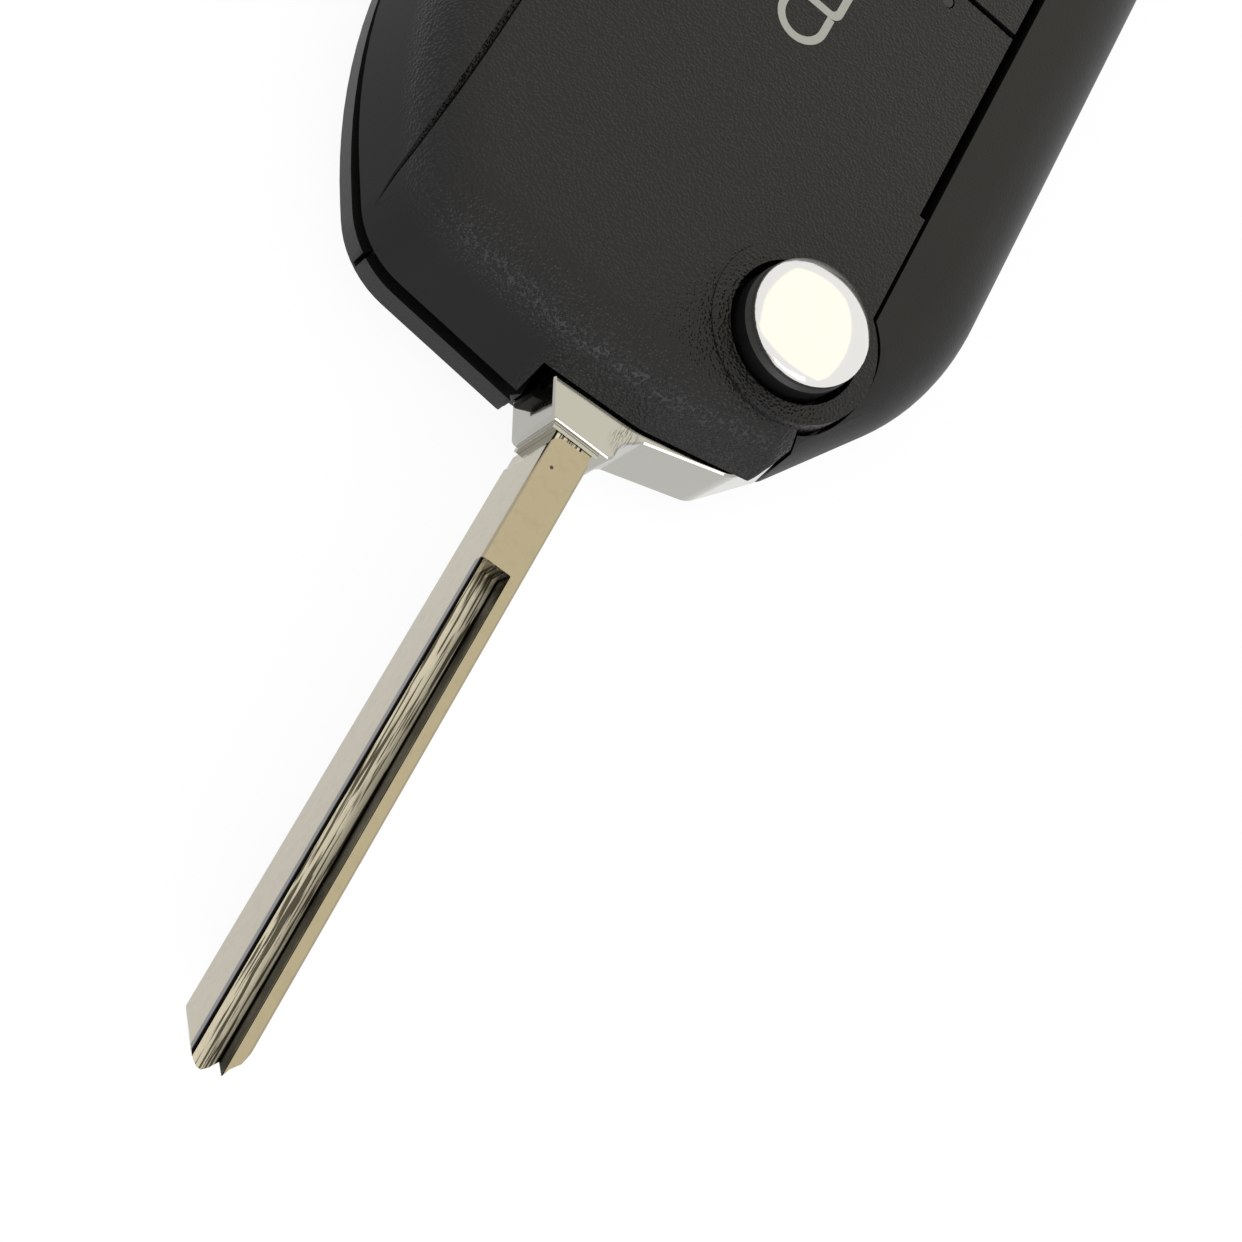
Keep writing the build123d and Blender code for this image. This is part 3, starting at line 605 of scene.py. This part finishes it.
def print_symbol(name, shapes, x, y, z, node):
    """Thin flat symbol on a key, read from the blade's side."""
    sizes = bpy.context.scene.key_sizes
    pieces = []
    for outlines in shapes:
        curve = bpy.data.curves.new(name, "CURVE")
        curve.dimensions = "2D"
        curve.fill_mode = "BOTH"
        curve.extrude = sizes.print_thick / 2
        for outline in outlines:
            line = curve.splines.new("POLY")
            line.points.add(len(outline) - 1)
            for point, (u, v) in zip(line.points, outline):
                point.co = (x - u * MM, y - v * MM, z, 1)
            line.use_cyclic_u = True
        piece = bpy.data.objects.new(name, curve)
        bpy.context.scene.collection.objects.link(piece)
        select_only(piece)
        bpy.ops.object.convert(target="MESH")
        pieces.append(piece)
    select_only(pieces[0])
    for piece in pieces:
        piece.select_set(True)
    if len(pieces) > 1:
        bpy.ops.object.join()
    symbol = bpy.context.object
    symbol.name = name
    symbol.data.materials.clear()
    symbol.data.materials.append(bpy.data.materials["pad_print_ink"])
    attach(symbol, body_of(node))


class FLIPKEY_OT_keys(bpy.types.Operator):
    """Lock flap, the two keys, their printed symbols and the indicator lens"""
    bl_idname = "flipkey.keys"
    bl_label = "Keys"

    def execute(self, context):
        finishes = context.scene.key_finishes
        face = bpy.data.materials["abs_leather_grain"]
        dress("lock_flap", "lock_flap_skin", face)
        dress("unlock_key", "unlock_key_skin", face)
        dress("boot_key", "boot_key_skin", face)
        dress("indicator_lens", "indicator_lens_tip", plain_plastic("dark_lens_acrylic", "#120606", 0.12))
        plain_plastic("pad_print_ink", finishes.icon_color, 0.5)
        x, y = LOCK_SYMBOL_AT
        print_symbol("lock_symbol", padlock(0.0), x * MM, y * MM, FACE_Z, "lock_flap")
        symbols = (("unlock_key", "unlock_symbol", padlock(2.9)), ("boot_key", "boot_symbol", car_boot()))
        for node, name, shapes in symbols:
            low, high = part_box(node)
            print_symbol(name, shapes, (low.x + high.x) / 2, (low.y + high.y) / 2, high.z, node)
        return {"FINISHED"}


class FLIPKEY_OT_blade(bpy.types.Operator):
    """Chrome head, blade and its pin"""
    bl_idname = "flipkey.blade"
    bl_label = "Head and blade"

    def execute(self, context):
        sizes = context.scene.key_sizes
        dress("blade_head", "chrome_head", chrome_plating(), sizes.head_round, segments=2)
        dress("key_blade", "steel_blade", nickel_steel(), sizes.blade_round)
        finish_node("blade_pin", turned_steel("ground_steel_pin", "#b8b8ba", 0.3))
        return {"FINISHED"}


class FLIPKEY_OT_release(bpy.types.Operator):
    """Release button, plunger, spring and axle"""
    bl_idname = "flipkey.release"
    bl_label = "Release button"

    def execute(self, context):
        dress("release_cap", "chrome_dome", bpy.data.materials["chrome_plating"])
        dress("release_plunger", "plunger_collar", plain_plastic("nylon_black", "#0d0d0d", 0.45))
        # the spring gets a mesh of its own
        spring = dress("flip_spring", "coil_spring", turned_steel("spring_wire", "#9a9a9c", 0.28))
        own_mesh(spring)
        finish_node("pivot_axle", bpy.data.materials["ground_steel_pin"])
        finish_node("pivot_washer", bpy.data.materials["ground_steel_pin"])
        return {"FINISHED"}


class FLIPKEY_OT_inside(bpy.types.Operator):
    """Board carrier, rubber membrane, clip, ring pin and screws"""
    bl_idname = "flipkey.inside"
    bl_label = "Inner pieces and fasteners"

    def execute(self, context):
        finish_node("board_carrier", bpy.data.materials["nylon_black"])
        finish_node("keypad_membrane", plain_plastic("silicone_rubber_grey", "#4a4a4c", 0.6))
        finish_node("battery_clip", bpy.data.materials["spring_wire"])
        dress("key_ring_pin", "ring_pin", bpy.data.materials["ground_steel_pin"])
        dress("case_screws", "black_screws", turned_steel("black_oxide_steel", "#2a2a2b", 0.35))
        return {"FINISHED"}


class FLIPKEY_PT_panel(bpy.types.Panel):
    """Lists the pieces of the flip key"""
    bl_label = "Flip Key"
    bl_idname = "FLIPKEY_PT_panel"
    bl_space_type = "VIEW_3D"
    bl_region_type = "UI"
    bl_category = "Flip Key"

    def draw(self, context):
        for operator in operators:
            self.layout.operator(operator.bl_idname)


operators = (FLIPKEY_OT_stage, FLIPKEY_OT_case, FLIPKEY_OT_keys, FLIPKEY_OT_blade, FLIPKEY_OT_release,
             FLIPKEY_OT_inside)
classes = (KeyFinishes, KeySizes, *operators, FLIPKEY_PT_panel)


def register():
    for entry in classes:
        bpy.utils.register_class(entry)
    bpy.types.Scene.key_finishes = bpy.props.PointerProperty(type=KeyFinishes)
    bpy.types.Scene.key_sizes = bpy.props.PointerProperty(type=KeySizes)


def unregister():
    del bpy.types.Scene.key_finishes
    del bpy.types.Scene.key_sizes
    for entry in reversed(classes):
        bpy.utils.unregister_class(entry)


def main():
    register()
    bpy.ops.flipkey.stage()
    bpy.ops.flipkey.case()
    bpy.ops.flipkey.keys()
    bpy.ops.flipkey.blade()
    bpy.ops.flipkey.release()
    bpy.ops.flipkey.inside()
    deselect()


if __name__ == "__main__":
    main()
